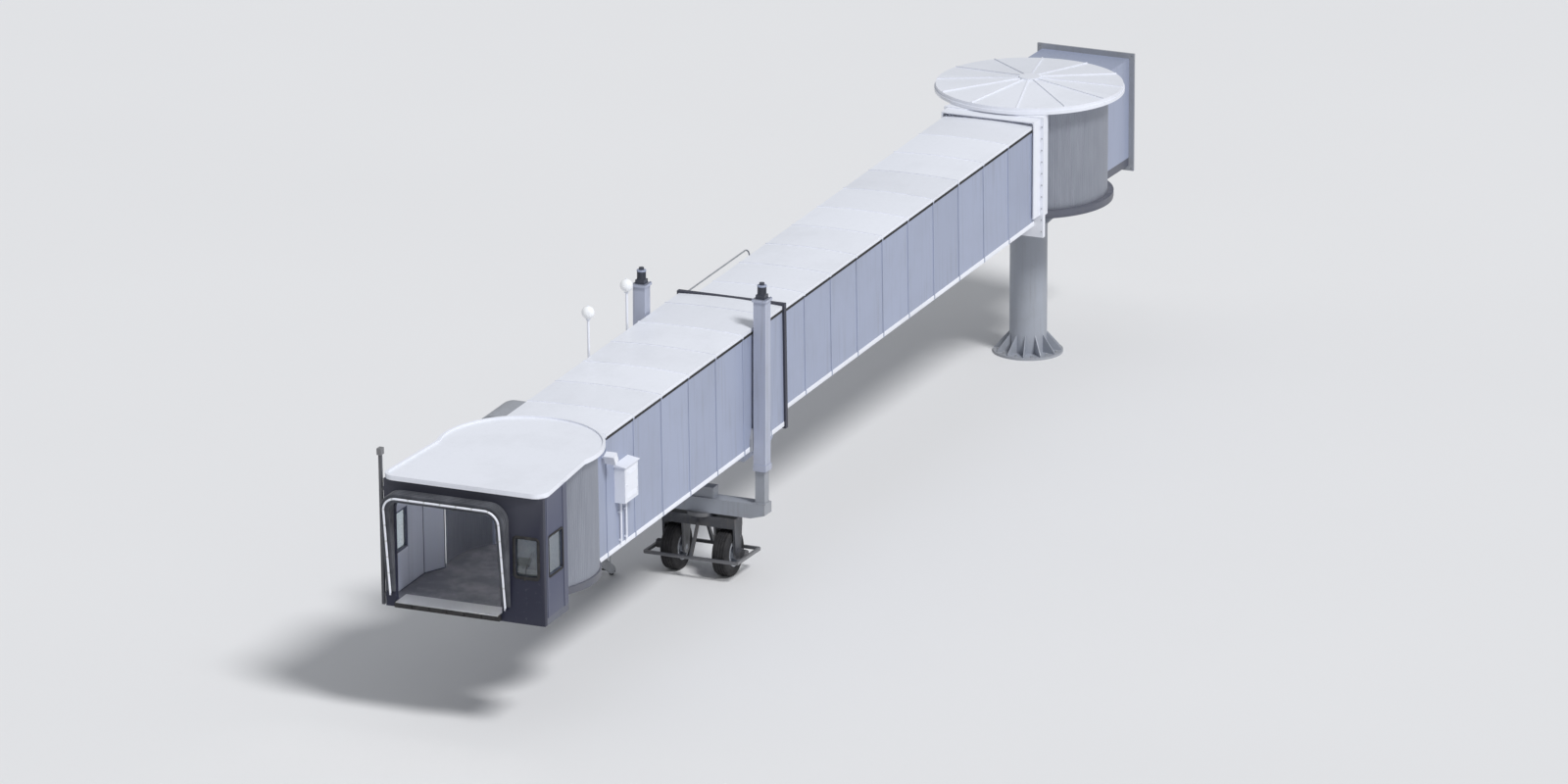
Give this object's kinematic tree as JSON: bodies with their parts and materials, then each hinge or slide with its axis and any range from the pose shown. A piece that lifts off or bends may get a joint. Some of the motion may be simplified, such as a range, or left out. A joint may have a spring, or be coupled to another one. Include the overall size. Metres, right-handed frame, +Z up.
{
  "type": "jet bridge",
  "caption": "Apron-drive jet bridge: rotunda on a column, two telescoping tunnels that pitch and swing, a wheeled lift column, service stairs and a turning cab with a canopy.",
  "frame": {"origin": "underside of the rotunda column's base plate, on the column's axis, on the ground", "axes": "+X from the rotunda along the bridge to the cab, +Y to the left when looking that way, +Z up"},
  "size_m": [35.9998, 4.7548, 7.1522],
  "materials": {
    "painted_white": "satin",
    "painted_grey": "satin",
    "curtain_slats": "satin",
    "painted_steel": "satin",
    "dark_steel": "satin",
    "floor_covering": "matte",
    "galvanised_steel": "satin",
    "castor_rubber": "matte",
    "tyre_rubber": "matte",
    "canopy_fabric": "matte",
    "window_glass": "gloss"
  },
  "bodies": {
    "terminal_side": {"rotunda_column": "painted_steel", "rotunda_floor": "floor_covering", "rotunda_roof": "painted_white", "rotunda_curtain_fixed": "curtain_slats", "corridor_floor": "floor_covering", "corridor_shell": "painted_grey", "terminal_flange": "painted_steel"},
    "rotunda_middle_curtain": {"rotunda_curtain_middle": "curtain_slats"},
    "slewing_frame": {"slewing_yoke": "painted_steel", "portal_frame": "painted_white", "rotunda_curtain_moving": "curtain_slats", "hinge_hood": "painted_white"},
    "inner_tunnel": {"inner_floor": "floor_covering", "inner_walls": "painted_grey", "inner_roof": "painted_white", "transition_ramp": "floor_covering"},
    "outer_tunnel": {"outer_floor": "floor_covering", "outer_wall_left": "painted_grey", "outer_wall_right": "painted_grey", "outer_roof": "painted_white", "outer_collar": "painted_grey", "trunnion_brackets": "painted_steel", "cab_bearing": "painted_steel", "cab_curtain_fixed": "curtain_slats", "cable_rail": "galvanised_steel", "conditioning_unit": "painted_grey", "lamps": "painted_white", "wall_cabinet": "painted_white", "landing": "galvanised_steel", "landing_rails": "galvanised_steel", "landing_hood": "painted_steel"},
    "service_door": {"service_door": "painted_grey"},
    "service_stair": {"stair_flight": "galvanised_steel", "stair_rails": "galvanised_steel", "stair_castors": "castor_rubber"},
    "drive_column": {"lift_columns": "painted_white"},
    "drive_legs": {"lift_legs": "painted_steel"},
    "bogie": {"bogie_frame": "dark_steel"},
    "wheel_left": {"rim_left": "painted_steel", "tyre_left": "tyre_rubber"},
    "wheel_right": {"rim_right": "painted_steel", "tyre_right": "tyre_rubber"},
    "cab": {"cab_floor": "floor_covering", "cab_walls": "painted_grey", "cab_roof": "painted_white", "cab_front": "painted_grey", "cab_windows": "window_glass", "driver_console": "dark_steel", "corner_post": "dark_steel", "cab_curtain_moving": "curtain_slats", "floor_bumper": "castor_rubber", "canopy": "canopy_fabric"},
    "cab_middle_curtain": {"cab_curtain_middle": "curtain_slats"},
    "canopy_hoop": {"canopy_hoop": "painted_white"}
  },
  "joints": [
    {"name": "rotunda_swing", "type": "hinge", "parent": "terminal_side", "child": "slewing_frame", "pos_m": [0, 0, 3.6], "axis": [0, 0, 1], "range_deg": [-50, 50]},
    {"name": "rotunda_curtain_follow", "type": "hinge", "parent": "terminal_side", "child": "rotunda_middle_curtain", "pos_m": [0, 0, 3.6], "axis": [0, 0, 1], "range_deg": [-25, 25]},
    {"name": "tunnel_pitch", "type": "hinge", "parent": "slewing_frame", "child": "inner_tunnel", "pos_m": [2.33, 0, 4.01], "axis": [0, -1, 0], "range_deg": [-2.5, 4]},
    {"name": "tunnel_extend", "type": "slide", "parent": "inner_tunnel", "child": "outer_tunnel", "axis": [0.9994, 0, -0.0349], "range_m": [-1.2, 4]},
    {"name": "service_door_swing", "type": "hinge", "parent": "outer_tunnel", "child": "service_door", "pos_m": [26.07312, -1.325, 3.34097], "axis": [0.0349, 0, 0.9994], "range_deg": [0, 90]},
    {"name": "stair_level", "type": "hinge", "parent": "outer_tunnel", "child": "service_stair", "pos_m": [24.96922, 0, 3.0193], "axis": [0, -1, 0], "range_deg": [-10, 16]},
    {"name": "column_level", "type": "hinge", "parent": "outer_tunnel", "child": "drive_column", "pos_m": [19.21971, 0, 3.4202], "axis": [0, -1, 0], "range_deg": [-4, 2.5]},
    {"name": "lift_slide", "type": "slide", "parent": "drive_column", "child": "drive_legs", "axis": [0, 0, -1], "range_m": [-0.75, 1.2]},
    {"name": "bogie_steer", "type": "hinge", "parent": "drive_legs", "child": "bogie", "pos_m": [19.21971, 0, 1.42], "axis": [0, 0, 1], "range_deg": [-90, 90]},
    {"name": "wheel_left_spin", "type": "hinge", "parent": "bogie", "child": "wheel_left", "pos_m": [19.21971, 0.65, 0.55], "axis": [0, 1, 0], "continuous": true},
    {"name": "wheel_right_spin", "type": "hinge", "parent": "bogie", "child": "wheel_right", "pos_m": [19.21971, -0.65, 0.55], "axis": [0, 1, 0], "continuous": true},
    {"name": "cab_rotate", "type": "hinge", "parent": "outer_tunnel", "child": "cab", "pos_m": [28.94378, 0, 3.08063], "axis": [0.0349, 0, 0.9994], "range_deg": [-23, 55]},
    {"name": "cab_curtain_follow", "type": "hinge", "parent": "outer_tunnel", "child": "cab_middle_curtain", "pos_m": [28.94378, 0, 3.08063], "axis": [0.0349, 0, 0.9994], "range_deg": [-11.5, 27.5]},
    {"name": "canopy_fold", "type": "hinge", "parent": "cab", "child": "canopy_hoop", "pos_m": [32.03224, -0.4, 2.98278], "axis": [0, 1, 0], "range_deg": [0, 20]}
  ],
  "couplings": [
    {"joint": "rotunda_curtain_follow", "follows": "rotunda_swing", "ratio": 0.5},
    {"joint": "column_level", "follows": "tunnel_pitch", "ratio": -1},
    {"joint": "lift_slide", "follows": "tunnel_pitch", "m_per_rad": 16.9},
    {"joint": "stair_level", "follows": "tunnel_pitch", "ratio": 3.9},
    {"joint": "cab_curtain_follow", "follows": "cab_rotate", "ratio": 0.5}
  ]
}
